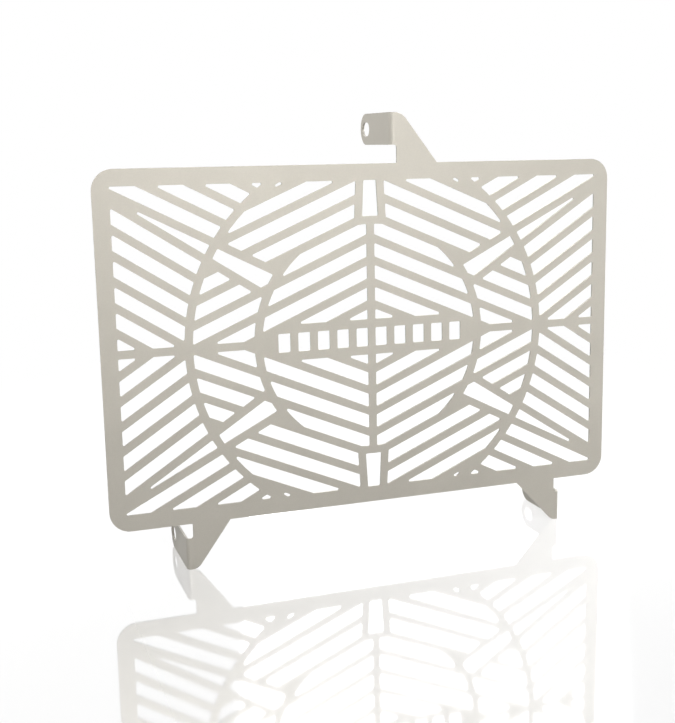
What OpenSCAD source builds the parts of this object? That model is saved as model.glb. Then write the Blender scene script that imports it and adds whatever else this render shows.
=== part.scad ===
// Radiator guard for a motorcycle: one cut and folded sheet of stainless steel.
// The plate stands in the XZ plane with its back face on Y = 0 and its front
// towards -Y. Three tabs fold back to +Y. Origin: centre of the back face.

/* [Plate] */
// Width of the plate
plate_w = 344.5; // [300:0.5:400]
// Height of the plate
plate_h = 221; // [190:0.5:260]
// Radius of the plate's corners
plate_corner_r = 13; // [3:0.5:25]
// Thickness of the sheet
sheet_t = 1.2; // [0.8:0.1:2]
// Width of the plain border round the slots
border_w = 10.25; // [6:0.25:16]

/* [Slots] */
// Width of every slanted slot
slot_w = 8; // [6:0.25:11]
// Width of the bars left between the slots
bar_w = 5; // [3.5:0.25:8]
// Radius in the corners of every slot
slot_corner_r = 0.8; // [0.4:0.1:1.2]
// Slope of the slots inside the outer ring, in degrees down from the middle
slot_slope = 23.3; // [20:0.1:27]
// Distance from the plate's centre to the middle of the first of those slots
first_slot = 13.6; // [12:0.1:16]

/* [Rings and spokes] */
// Radius of the outer ring, to the middle of its bar
outer_ring_r = 119; // [105:0.5:130]
// Radius of the inner ring, to the middle of its bar
inner_ring_r = 75.2; // [60:0.1:85]
// Angle of the lower spokes above the horizontal
spoke_angle = 30; // [25:0.5:36]
// Width that a spoke's slot would have at the plate's centre
spoke_root_w = 18.7; // [14:0.1:22]
// Distance from the plate's centre at which a spoke's slot runs out
spoke_reach = 184; // [150:1:220]

/* [Middle band] */
// Height of the band across the middle of the inner ring
band_h = 23; // [18:0.5:30]
// Height of the upright slots in the band
band_slot_h = 12; // [8:0.5:13]

/* [Tabs] */
// Width of each folded tab
tab_w = 20.3; // [16:0.1:26]
// Depth of each folded tab, from the plate's front face to the tab's end
tab_depth = 55; // [35:0.5:80]
// Radius inside each fold
fold_r = 1.8; // [0.8:0.1:3]
// Width of the rounded relief cut beside each fold
relief_w = 1.5; // [0.8:0.1:3]
// Width of the bolt slot in each tab
bolt_slot_w = 9; // [5:0.1:11]
// Length of the bolt slot, end to end, along the tab
bolt_slot_l = 13; // [12:0.1:18]
// Place of the top tab's outer face, from the plate's centre
top_fold_x = 14; // [-30:0.5:60]
// Gap between the plate's top edge and the top tab
top_tab_gap = 11.4; // [6:0.1:20]
// Slope of the top ear's slanted edge, in degrees
top_ear_slope = 52.8; // [45:0.2:65]
// Radius of the top ear's outer corner
top_ear_r = 10; // [4:0.5:14]
// Place of the lower left tab's outer face, left of the plate's centre
left_fold_x = 125.9; // [100:0.1:140]
// Slope of the lower left ear's slanted edge, in degrees
left_ear_slope = 54; // [45:0.5:65]
// Radius of the lower left ear's outer corner
left_ear_r = 7.5; // [4:0.5:14]
// Place of the lower right tab's outer face, right of the plate's centre
right_fold_x = 138.6; // [110:0.1:150]
// Slope of the lower right ear's slanted edge, in degrees
right_ear_slope = 47.5; // [40:0.5:65]
// Radius of the lower right ear's outer corner
right_ear_r = 6.5; // [4:0.5:14]
// Gap between the plate's bottom edge and both lower tabs
low_tab_gap = 9.7; // [6:0.1:20]

/* [Hidden] */
sheet_colour = "#d2cbbd";
pitch = slot_w + bar_w;
field_w = plate_w - 2 * border_w;
field_h = plate_h - 2 * border_w;
inner_ring_in = inner_ring_r - bar_w / 2;
inner_ring_out = inner_ring_r + bar_w / 2;
outer_ring_in = outer_ring_r - bar_w / 2;
outer_ring_out = outer_ring_r + bar_w / 2;
spoke_half = spoke_root_w / 2;
spoke_taper = asin(spoke_half / spoke_reach);
reach = plate_w;
rows = ceil(reach / pitch);
fold_out_r = fold_r + sheet_t;
ear_root = border_w / 2;
ear_arc_steps = 12;
ring_fn = 120;
corner_fn = 12;

// Near edge of a row of slots inside the outer ring. Row 0 is the innermost.
// Edges are measured from the plate's centre, square to the row.
first_edge = first_slot - slot_w / 2;
function row_edge(i) = first_edge + i * pitch;

// The first row that passes the middle band's end without meeting it, and the
// row that starts under the foot of the slanted spoke.
band_end = sqrt(pow(inner_ring_in, 2) - pow(band_h / 2, 2));
band_end_edge = band_end * sin(slot_slope) + band_h / 2 * cos(slot_slope);
passing_row = ceil((band_end_edge - slot_w - first_edge) / pitch);
foot_row = floor((inner_ring_out * sin(slot_slope + spoke_angle) - first_edge) / pitch);
band_slots = floor((band_end - bar_w / 2) / pitch);

// Everything past an edge, for the rows inside the outer ring.
module past(edge) {
    rotate(-slot_slope) translate([-reach, edge]) square(2 * reach);
}

// One endless slot inside the outer ring.
module row(i) {
    rotate(-slot_slope) translate([-reach, row_edge(i)]) square([2 * reach, slot_w]);
}

// One endless slot beside the slanted spoke: side 1 is above it, -1 below it.
module spoke_row(i, side) {
    rotate(spoke_angle - side * spoke_taper)
        translate([0, side * (spoke_half + bar_w + slot_w / 2 + i * pitch)])
            square([2 * reach, slot_w], center = true);
}

// A spoke's tapered outline along +X, grown sideways by an amount.
module spoke(grow = 0) {
    half = spoke_half + grow;
    polygon([[0, -half / cos(spoke_taper)], [half / sin(spoke_taper), 0],
             [0, half / cos(spoke_taper)]]);
}

// The two spokes that bound a quarter: the slanted one and the upright one.
module quarter_spokes(grow = 0) {
    rotate(spoke_angle) spoke(grow);
    rotate(90) spoke(grow);
}

module below_spoke() {
    rotate(spoke_angle) translate([-reach, -2 * reach]) square(2 * reach);
}

module ring_gap(r_in, r_out) {
    difference() {
        circle(r = r_out, $fn = ring_fn);
        circle(r = r_in, $fn = ring_fn);
    }
}

module level_bar() {
    square([2 * reach, bar_w], center = true);
}

// Slots inside the inner ring, beside the centre bar. Those that would run into
// the middle band stop at it, and the others pass its end down to the ring.
module core_slots() {
    intersection() {
        circle(r = inner_ring_in, $fn = ring_fn);
        for (i = [0 : rows]) intersection() {
            row(i);
            translate([bar_w / 2, (i < passing_row ? band_h : bar_w) / 2]) square(reach);
        }
    }
}

// Slots between the two rings. A row that clears the inner ring's hole runs
// straight across that ring's bar, and the others stop at the ring.
module bay_slots() {
    difference() {
        for (i = [0 : rows]) intersection() {
            row(i);
            ring_gap(row_edge(i) > inner_ring_in ? inner_ring_in : inner_ring_out,
                     outer_ring_in);
        }
        quarter_spokes(bar_w);
        level_bar();
    }
}

// Slots outside the outer ring, parallel to the near side of the slanted spoke.
module corner_slots() {
    difference() {
        union() {
            difference() {
                for (i = [0 : rows]) spoke_row(i, 1);
                below_spoke();
            }
            intersection() {
                for (i = [0 : rows]) spoke_row(i, -1);
                below_spoke();
            }
        }
        circle(r = outer_ring_out, $fn = ring_fn);
        level_bar();
    }
}

// Spoke slots, broken by the outer ring. The slanted one starts past the bar
// that runs under its foot.
module spoke_slots() {
    intersection() {
        difference() {
            quarter_spokes();
            circle(r = inner_ring_out, $fn = ring_fn);
            ring_gap(outer_ring_in, outer_ring_out);
        }
        past(row_edge(foot_row));
    }
}

// Upright slots in the middle band, from the centre bar outwards, a bar's width
// clear of the first row that passes the band's end.
module band_slots_half() {
    difference() {
        for (i = [0 : band_slots - 1])
            translate([bar_w / 2 + i * pitch, -band_slot_h / 2]) square([slot_w, band_slot_h]);
        past(row_edge(passing_row) - bar_w);
    }
}

module quarter_slots() {
    intersection() {
        square([field_w / 2, field_h / 2]);
        union() {
            core_slots();
            bay_slots();
            corner_slots();
            spoke_slots();
            band_slots_half();
        }
    }
}

// All slots, with their corners rounded.
module all_slots() {
    offset(r = slot_corner_r, $fn = corner_fn)
    offset(delta = -slot_corner_r)
    for (sx = [0, 1], sz = [0, 1])
        mirror([sx, 0]) mirror([0, sz]) quarter_slots();
}

module plate_outline() {
    dx = plate_w / 2 - plate_corner_r;
    dz = plate_h / 2 - plate_corner_r;
    square([plate_w, 2 * dz], center = true);
    square([2 * dx, plate_h], center = true);
    for (sx = [-1, 1], sz = [-1, 1])
        translate([sx * dx, sz * dz]) circle(r = plate_corner_r, $fn = 72);
}

// Flat ear beside a fold. U runs from the fold along the plate, V outwards from
// the plate's edge. The slanted edge is tangent to the corner's arc.
module ear_outline(gap, slope, corner_r) {
    mid = gap + tab_w - corner_r;
    foot = (mid * cos(slope) + corner_r) / sin(slope);
    arc = [for (k = [0 : ear_arc_steps]) let (a = slope * k / ear_arc_steps)
        [corner_r * sin(a), mid + corner_r * cos(a)]];
    difference() {
        polygon(concat([[0, -ear_root]], arc, [[foot, 0], [foot, -ear_root]]));
        translate([0, -2 * ear_root]) square([relief_w, gap - relief_w + 2 * ear_root]);
        translate([0, gap - relief_w]) circle(r = relief_w, $fn = 48);
    }
}

// Quarter round of the fold and the flat tab behind it, for a tab whose outer
// face looks to -X. X = 0 is the end of the flat ear, Z = 0 the tab's middle.
module fold_and_tab() {
    tab_end = tab_depth - sheet_t;
    round_y = tab_end - tab_w / 2;
    slot_half = (bolt_slot_l - bolt_slot_w) / 2;
    translate([0, fold_r, -tab_w / 2]) rotate(180)
        rotate_extrude(angle = 90, $fn = 72) translate([fold_r, 0]) square([sheet_t, tab_w]);
    translate([-fold_out_r, 0, 0]) difference() {
        union() {
            translate([0, fold_r, -tab_w / 2]) cube([sheet_t, round_y - fold_r, tab_w]);
            translate([0, round_y, 0]) rotate([0, 90, 0])
                cylinder(r = tab_w / 2, h = sheet_t, $fn = 72);
        }
        for (s = [-1, 1])
            translate([-1, round_y + s * slot_half, 0]) rotate([0, 90, 0])
                cylinder(r = bolt_slot_w / 2, h = sheet_t + 2, $fn = 48);
        translate([-1, round_y - slot_half, -bolt_slot_w / 2])
            cube([sheet_t + 2, 2 * slot_half, bolt_slot_w]);
    }
}

// A flat drawing in the plate's plane, given the sheet's thickness.
module cut_sheet() {
    rotate([90, 0, 0]) linear_extrude(sheet_t) children();
}

// Lays an ear or a tab at its place: side -1 folds at its left, 1 at its right,
// and edge 1 is the plate's top, -1 its bottom.
module at_fold(fold_x, side, edge) {
    translate([side * (fold_x - fold_out_r), 0, edge * plate_h / 2])
        mirror([side > 0 ? 1 : 0, 0, 0]) mirror([0, 0, edge < 0 ? 1 : 0]) children();
}

module tab(fold_x, side, edge, gap, slope, corner_r) {
    at_fold(fold_x, side, edge) {
        cut_sheet() ear_outline(gap, slope, corner_r);
        translate([0, 0, gap + tab_w / 2]) fold_and_tab();
    }
}

module guard_plate() {
    color(sheet_colour) union() {
        cut_sheet() difference() {
            plate_outline();
            all_slots();
        }
        tab(-top_fold_x, -1, 1, top_tab_gap, top_ear_slope, top_ear_r);
        tab(left_fold_x, -1, -1, low_tab_gap, left_ear_slope, left_ear_r);
        tab(right_fold_x, 1, -1, low_tab_gap, right_ear_slope, right_ear_r);
    }
}

guard_plate();
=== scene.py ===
"""Looks of the folded radiator guard: the sheet with its cut edges eased, its satin
finish, and a pale studio. Lengths are in metres, in the frame of the CAD part."""

import math

import bmesh
import bpy
import numpy as np
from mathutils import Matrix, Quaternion, Vector


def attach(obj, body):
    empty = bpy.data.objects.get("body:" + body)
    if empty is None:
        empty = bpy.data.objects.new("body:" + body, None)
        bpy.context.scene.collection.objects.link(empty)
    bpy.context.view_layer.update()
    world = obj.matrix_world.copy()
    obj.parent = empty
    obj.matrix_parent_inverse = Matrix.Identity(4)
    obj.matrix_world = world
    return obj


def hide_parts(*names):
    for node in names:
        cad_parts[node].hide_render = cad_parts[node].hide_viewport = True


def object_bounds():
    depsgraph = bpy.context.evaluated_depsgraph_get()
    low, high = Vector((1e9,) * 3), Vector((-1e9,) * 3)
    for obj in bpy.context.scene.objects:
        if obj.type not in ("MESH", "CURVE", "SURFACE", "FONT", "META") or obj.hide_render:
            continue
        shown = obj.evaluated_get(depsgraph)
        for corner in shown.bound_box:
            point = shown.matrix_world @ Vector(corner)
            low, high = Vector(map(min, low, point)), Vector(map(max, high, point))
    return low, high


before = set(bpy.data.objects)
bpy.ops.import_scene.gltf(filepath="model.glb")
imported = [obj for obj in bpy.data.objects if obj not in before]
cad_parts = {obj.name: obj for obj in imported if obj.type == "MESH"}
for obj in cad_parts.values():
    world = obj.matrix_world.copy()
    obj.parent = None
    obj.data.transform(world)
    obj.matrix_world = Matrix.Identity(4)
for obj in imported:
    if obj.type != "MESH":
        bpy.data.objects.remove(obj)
CAD_BOX = [list(corner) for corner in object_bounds()]
LEFT_END = CAD_BOX[0][0]
RIGHT_END = CAD_BOX[1][0]
FLOOR_Z = CAD_BOX[0][2]  # height of the feet of the two lower tabs
MM = 0.001


# The sheet's measures

SHEET_NODE = "guard_plate"
SHEET = 1.2 * MM  # thickness of the sheet, whose back face is at y = 0
FOLD_END = 1.8 * MM  # where the folds end and the flat tabs begin, along y
EDGE_EASE = 0.16 * MM  # how far the laser-cut edges are rubbed round
EASE_STEPS = 2  # facets across an eased edge
EDGE_ANGLE = math.radians(40)  # a bend sharper than this is an edge
FLAT_ANGLE = math.radians(0.5)  # a bend gentler than this is flat
SAME_POINT = 0.002 * MM  # corners closer than this are one corner
MID_SHEET = 0.05 * MM  # how near the middle of the thickness a cut face has its centre
CUT_LEAN = 0.3  # a cut face's normal leans less than this towards the sheet's two sides
FOLD_CUT_RISE = 0.9  # the cut faces of a fold look up or down by more than this
TAB_SLACK = 0.01 * MM  # how far before the fold's end a corner still counts as the tab's


# The finish

GRAIN = 0.7 * MM  # width of the blasting's grain as it is drawn
CLOUDS = 40 * MM  # width of the cloudy patches
STRIPES = 0.4 * MM  # width of the cut edges' stripes as they are drawn
WARM_GREY = "#c5c0b5"
LIGHT_WARM_GREY = "#cbc6bb"
NOISE_SPAN = (0.3, 0.7)  # nearly all values of a noise lie between these
STRIPE_SPAN = (0.35, 0.65)  # a narrower span, which makes the stripes plainer
GRAIN_SHADE = (0.97, 1.03)  # shade of the blasted faces' darkest and lightest grain
STRIPE_SHADE = (0.74, 0.94)  # shade of the cut edges' darkest and lightest stripes
BLASTED_ROUGHNESS = (0.46, 0.54)  # from the shiniest cloud to the dullest
CUT_ROUGHNESS = 0.36
METAL_SHARE = 0.3  # the rest scatters the light
RELIEF = 0.02 * MM  # height of the grain and of the stripes
RELIEF_SHARE = 0.12  # how strongly the light shows the relief


# The studio

WHITE = "#ffffff"
FILL = 0.02  # even light from all round
FLOOR_RADIUS = 8.0
RIM_POINTS = 96
FLOOR_GLOW = 0.80  # part of the floor's white that takes no shadow
FLOOR_PAINT = "#aaaaaa"  # colour of the part that does
FLOOR_BOUNCE = "#505050"  # colour of the floor for the light that it throws back onto the part
FLOOR_FADE = (0.35, 0.75)  # distances from the part between which the floor turns plain white
POLISH = (0.55, 0.15)  # mirror share of the floor at the part's left and right ends
POLISH_ROUGHNESS = 0.05
OPEN_BEAM = 180  # degrees, for a lamp without a grid


# Colours and nodes


def linear(hex_colour):
    """An sRGB hex colour as linear RGBA: c/12.92 below 0.04045, else ((c+0.055)/1.055)^2.4."""
    srgb = np.array([int(hex_colour[i : i + 2], 16) for i in (1, 3, 5)]) / 255
    rgb = np.where(srgb <= 0.04045, srgb / 12.92, ((srgb + 0.055) / 1.055) ** 2.4)
    return (*rgb.tolist(), 1.0)


def add(tree, kind, inputs=None, **settings):
    """Adds a node. inputs maps a socket's name or number to a value or to another node's socket."""
    node = tree.nodes.new(kind)
    for name, value in settings.items():
        setattr(node, name, value)
    for key, value in (inputs or {}).items():
        if isinstance(value, bpy.types.NodeSocket):
            tree.links.new(value, node.inputs[key])
        else:
            node.inputs[key].default_value = value
    return node


def fresh_tree(owner):
    """Empties the node tree of a material or world and returns it."""
    owner.use_nodes = True
    owner.node_tree.nodes.clear()
    return owner.node_tree


# The sheet's finish


def satin_sheet():
    """Satin stainless steel: a bead-blasted sheet with a warm grey tone. The blasting gives a
    very fine even grain and a wide soft sheen, with faint cloudy patches from handling. It
    scatters most of the light, so less than half of it is drawn as mirror-like metal. The
    laser-cut edges are a little darker and smoother, with fine stripes across the sheet."""
    material = bpy.data.materials.new("satin_blasted_stainless")
    tree = fresh_tree(material)
    place = add(tree, "ShaderNodeTexCoord").outputs["Object"]
    cut = add(tree, "ShaderNodeAttribute", attribute_name="cut_edge").outputs["Fac"]
    run = add(tree, "ShaderNodeAttribute", attribute_name="cut_run").outputs["Vector"]

    # The blasting's grain is about 0.1 mm. It is drawn 0.7 mm wide so that a render shows it.
    grain = add(
        tree,
        "ShaderNodeTexNoise",
        {"Vector": place, "Scale": 1 / GRAIN, "Detail": 3.0, "Roughness": 0.6},
    ).outputs["Fac"]
    # The cloudy patches are about 40 mm across, the width of a hand's touch.
    clouds = add(
        tree,
        "ShaderNodeTexNoise",
        {"Vector": place, "Scale": 1 / CLOUDS, "Detail": 4.0, "Roughness": 0.55},
    ).outputs["Fac"]
    # The laser's stripes are about 0.2 mm apart. They are drawn 0.4 mm apart so that they show.
    stripes = add(
        tree,
        "ShaderNodeTexNoise",
        {"Vector": run, "Scale": 1 / STRIPES, "Detail": 1.0},
    ).outputs["Fac"]

    tone = add(
        tree,
        "ShaderNodeMapRange",
        {"Value": clouds, "From Min": NOISE_SPAN[0], "From Max": NOISE_SPAN[1]},
    )
    colour = add(
        tree,
        "ShaderNodeMix",
        {"Factor": tone.outputs["Result"], "A": linear(WARM_GREY), "B": linear(LIGHT_WARM_GREY)},
        data_type="RGBA",
    )
    speck = add(
        tree,
        "ShaderNodeMapRange",
        {
            "Value": grain,
            "From Min": NOISE_SPAN[0],
            "From Max": NOISE_SPAN[1],
            "To Min": GRAIN_SHADE[0],
            "To Max": GRAIN_SHADE[1],
        },
    )
    stripe = add(
        tree,
        "ShaderNodeMapRange",
        {
            "Value": stripes,
            "From Min": STRIPE_SPAN[0],
            "From Max": STRIPE_SPAN[1],
            "To Min": STRIPE_SHADE[0],
            "To Max": STRIPE_SHADE[1],
        },
    )
    shade = add(
        tree,
        "ShaderNodeMix",
        {"Factor": cut, "A": speck.outputs["Result"], "B": stripe.outputs["Result"]},
    )
    shaded = add(
        tree,
        "ShaderNodeVectorMath",
        {0: colour.outputs["Result"], "Scale": shade.outputs["Result"]},
        operation="SCALE",
    )
    sheen = add(
        tree,
        "ShaderNodeMapRange",
        {
            "Value": clouds,
            "From Min": NOISE_SPAN[0],
            "From Max": NOISE_SPAN[1],
            "To Min": BLASTED_ROUGHNESS[0],
            "To Max": BLASTED_ROUGHNESS[1],
        },
    )
    roughness = add(
        tree,
        "ShaderNodeMix",
        {"Factor": cut, "A": sheen.outputs["Result"], "B": CUT_ROUGHNESS},
    )
    height = add(tree, "ShaderNodeMix", {"Factor": cut, "A": grain, "B": stripes})
    bump = add(
        tree,
        "ShaderNodeBump",
        {"Height": height.outputs["Result"], "Strength": RELIEF_SHARE, "Distance": RELIEF},
    )
    shader = add(
        tree,
        "ShaderNodeBsdfPrincipled",
        {
            "Base Color": shaded.outputs["Vector"],
            "Roughness": roughness.outputs["Result"],
            "Metallic": METAL_SHARE,
            "Normal": bump.outputs["Normal"],
        },
    )
    add(tree, "ShaderNodeOutputMaterial", {"Surface": shader.outputs["BSDF"]})
    return material


# The sheet


def mark_cut_edges(mesh):
    """Writes cut_edge, 1 on the faces that the laser cut and 0 on the sheet's two sides, and
    cut_run, which is each corner's place without its part across the sheet: (x, 0, z) on the
    plate and (0, y, z) on the tabs. The stripes on the cut faces follow it."""
    faces = len(mesh.polygons)
    normal = np.empty(faces * 3)
    centre = np.empty(faces * 3)
    mesh.polygons.foreach_get("normal", normal)
    mesh.polygons.foreach_get("center", centre)
    lean_x, lean_y, lean_z = np.abs(normal.reshape(-1, 3)).T
    depth = centre.reshape(-1, 3)[:, 1]
    plate_cut = (np.abs(depth + SHEET / 2) < MID_SHEET) & (lean_y < CUT_LEAN)
    tab_cut = (depth > FOLD_END) & (lean_x < CUT_LEAN)
    fold_cut = lean_z > FOLD_CUT_RISE
    cut = (plate_cut | tab_cut | fold_cut).astype(np.float32)
    mesh.attributes.new("cut_edge", "FLOAT", "FACE").data.foreach_set("value", cut)

    place = np.empty(len(mesh.vertices) * 3)
    mesh.vertices.foreach_get("co", place)
    place = place.reshape(-1, 3)
    on_tab = place[:, 1] > FOLD_END - TAB_SLACK
    run = np.where(on_tab[:, None], place * (0, 1, 1), place * (1, 0, 1))
    run = run.astype(np.float32).ravel()
    mesh.attributes.new("cut_run", "FLOAT_VECTOR", "POINT").data.foreach_set("vector", run)


def eased_sheet(node):
    """A copy of the CAD sheet, in one piece, with its sharp edges eased and its folds smooth."""
    mesh = node.data.copy()
    mesh.name = "folded_guard_sheet"
    mesh.transform(node.matrix_world)
    work = bmesh.new()
    work.from_mesh(mesh)
    bmesh.ops.remove_doubles(work, verts=work.verts, dist=SAME_POINT)
    bmesh.ops.dissolve_limit(work, angle_limit=FLAT_ANGLE, verts=work.verts, edges=work.edges)
    work.to_mesh(mesh)
    work.free()
    mark_cut_edges(mesh)
    mesh.materials.clear()
    mesh.materials.append(satin_sheet())
    mesh.shade_smooth()
    mesh.set_sharp_from_angle(angle=EDGE_ANGLE)
    sheet = bpy.data.objects.new("folded_guard_sheet", mesh)
    bpy.context.scene.collection.objects.link(sheet)
    ease = sheet.modifiers.new("eased_edges", "BEVEL")
    ease.width = EDGE_EASE
    ease.segments = EASE_STEPS
    ease.limit_method = "ANGLE"
    ease.angle_limit = EDGE_ANGLE
    ease.use_clamp_overlap = True
    ease.harden_normals = True
    return sheet


# The room


def seen(tree):
    """1 for rays from the camera, a reflection or a see-through surface, else 0."""
    path = add(tree, "ShaderNodeLightPath").outputs
    direct_or_mirrored = add(
        tree,
        "ShaderNodeMath",
        {0: path["Is Camera Ray"], 1: path["Is Glossy Ray"]},
        operation="MAXIMUM",
    )
    any_of_three = add(
        tree,
        "ShaderNodeMath",
        {0: direct_or_mirrored.outputs[0], 1: path["Is Transmission Ray"]},
        operation="MAXIMUM",
    )
    return any_of_three.outputs[0]


def studio_world():
    """White where it is seen, and a dimmer even fill for light."""
    world = bpy.data.worlds.new("studio")
    bpy.context.scene.world = world
    tree = fresh_tree(world)
    dim = add(tree, "ShaderNodeBackground", {"Color": linear(WHITE), "Strength": FILL})
    white = add(tree, "ShaderNodeBackground", {"Color": linear(WHITE), "Strength": 1.0})
    both = add(tree, "ShaderNodeMixShader", {0: seen(tree), 1: dim.outputs[0], 2: white.outputs[0]})
    add(tree, "ShaderNodeOutputWorld", {"Surface": both.outputs[0]})


def floor_paint():
    """Pale paint with a polish: it keeps the part's shadow and shows a faint mirror image of the
    part, which weakens from left to right. Further out it turns plain white, like the world. The
    part itself gets only a dim bounce from it."""
    material = bpy.data.materials.new("pale_floor_paint")
    tree = fresh_tree(material)
    place = add(tree, "ShaderNodeTexCoord").outputs["Object"]
    level = add(tree, "ShaderNodeVectorMath", {0: place, 1: (1, 1, 0)}, operation="MULTIPLY")
    reach = add(tree, "ShaderNodeVectorMath", {0: level.outputs["Vector"]}, operation="LENGTH")
    fade = add(
        tree,
        "ShaderNodeMapRange",
        {"Value": reach.outputs["Value"], "From Min": FLOOR_FADE[0], "From Max": FLOOR_FADE[1]},
        interpolation_type="SMOOTHSTEP",
    )
    paint = add(tree, "ShaderNodeBsdfDiffuse", {"Color": linear(FLOOR_PAINT)})
    glow = add(tree, "ShaderNodeEmission", {"Color": linear(WHITE), "Strength": FLOOR_GLOW})
    pale = add(tree, "ShaderNodeAddShader", {0: paint.outputs[0], 1: glow.outputs[0]})
    along = add(tree, "ShaderNodeSeparateXYZ", {0: place}).outputs["X"]
    polish = add(
        tree,
        "ShaderNodeMapRange",
        {
            "Value": along,
            "From Min": LEFT_END,
            "From Max": RIGHT_END,
            "To Min": POLISH[0],
            "To Max": POLISH[1],
        },
    )
    mirror = add(
        tree,
        "ShaderNodeBsdfGlossy",
        {"Color": linear(WHITE), "Roughness": POLISH_ROUGHNESS},
    )
    near = add(
        tree,
        "ShaderNodeMixShader",
        {0: polish.outputs[0], 1: pale.outputs[0], 2: mirror.outputs[0]},
    )
    far = add(tree, "ShaderNodeEmission", {"Color": linear(WHITE), "Strength": 1.0})
    shown = add(
        tree,
        "ShaderNodeMixShader",
        {0: fade.outputs[0], 1: near.outputs[0], 2: far.outputs[0]},
    )
    bounce = add(tree, "ShaderNodeBsdfDiffuse", {"Color": linear(FLOOR_BOUNCE)})
    both = add(
        tree,
        "ShaderNodeMixShader",
        {0: seen(tree), 1: bounce.outputs[0], 2: shown.outputs[0]},
    )
    add(tree, "ShaderNodeOutputMaterial", {"Surface": both.outputs[0]})
    return material


def pale_floor():
    """A disc under the tabs' feet: its rim is points at equal angles on a level circle."""
    turn = np.linspace(0, 2 * np.pi, RIM_POINTS, endpoint=False)
    height = np.full(RIM_POINTS, FLOOR_Z)
    rim = np.stack([FLOOR_RADIUS * np.cos(turn), FLOOR_RADIUS * np.sin(turn), height], axis=1)
    mesh = bpy.data.meshes.new("pale_floor")
    mesh.from_pydata(rim.tolist(), [], [list(range(RIM_POINTS))])
    mesh.materials.append(floor_paint())
    floor = bpy.data.objects.new("pale_floor", mesh)
    bpy.context.scene.collection.objects.link(floor)


def softbox(name, place, aim, size, watts, grid=OPEN_BEAM):
    """A square area lamp at a place, turned to an aim. A grid narrows its beam to so many degrees."""
    lamp = bpy.data.lights.new(name, "AREA")
    lamp.shape = "SQUARE"
    lamp.size = size
    lamp.energy = watts
    lamp.spread = math.radians(grid)
    holder = bpy.data.objects.new(name, lamp)
    holder.location = place
    holder.rotation_mode = "QUATERNION"
    holder.rotation_quaternion = (Vector(aim) - Vector(place)).to_track_quat("-Z", "Y")
    bpy.context.scene.collection.objects.link(holder)


def photograph_camera():
    """The photograph's viewpoint: in front, to the left and slightly above, about 0.75 m away."""
    camera = bpy.data.cameras.new("photograph")
    camera.sensor_width = 36.0
    camera.lens = 57.79
    camera.shift_x = -0.0588
    camera.shift_y = -0.0131
    camera.clip_start = 0.01
    camera.clip_end = 50
    holder = bpy.data.objects.new("photograph", camera)
    holder.location = (-0.25146, -0.69714, 0.12429)
    holder.rotation_mode = "QUATERNION"
    holder.rotation_quaternion = Quaternion((0.754817, 0.631551, -0.108300, -0.140233))
    bpy.context.scene.collection.objects.link(holder)
    bpy.context.scene.camera = holder


# The scene

sheet = eased_sheet(bpy.data.objects[SHEET_NODE])
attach(sheet, "root")
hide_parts(SHEET_NODE)

studio_world()
pale_floor()

# Gridded lamps in front give the sheet its fall of light from top to bottom.
softbox("top_front_box", (0.1, -1.0, 0.6), (0.015, 0, 0.175), size=0.3, watts=0.33, grid=30)
softbox("left_front_box", (-0.6, -0.9, 0.5), (-0.22, 0, 0.03), size=0.3, watts=0.28, grid=31)
softbox("right_front_box", (0.9, -0.8, 0.35), (0.3, 0, -0.05), size=0.3, watts=0.31, grid=28)
# This one lights the outer side of the top tab.
softbox("back_left_box", (-0.6, 0.45, 0.5), (0, 0.02, 0.14), size=0.25, watts=0.17, grid=36)
# This one hangs close above the plate and softens the light on its upper half.
softbox("near_top_box", (-0.1, -0.2, 0.5), (0, 0, 0.05), size=0.3, watts=0.13)
# The last two light the floor and the back of the sheet.
softbox("overhead_box", (0, 0.25, 1.2), (0, 0.02, 0), size=0.8, watts=4.0)
softbox("back_box", (0.5, 1.1, 0.6), (0, 0, 0), size=0.7, watts=6.0)
photograph_camera()

bpy.context.scene.view_settings.view_transform = "Standard"
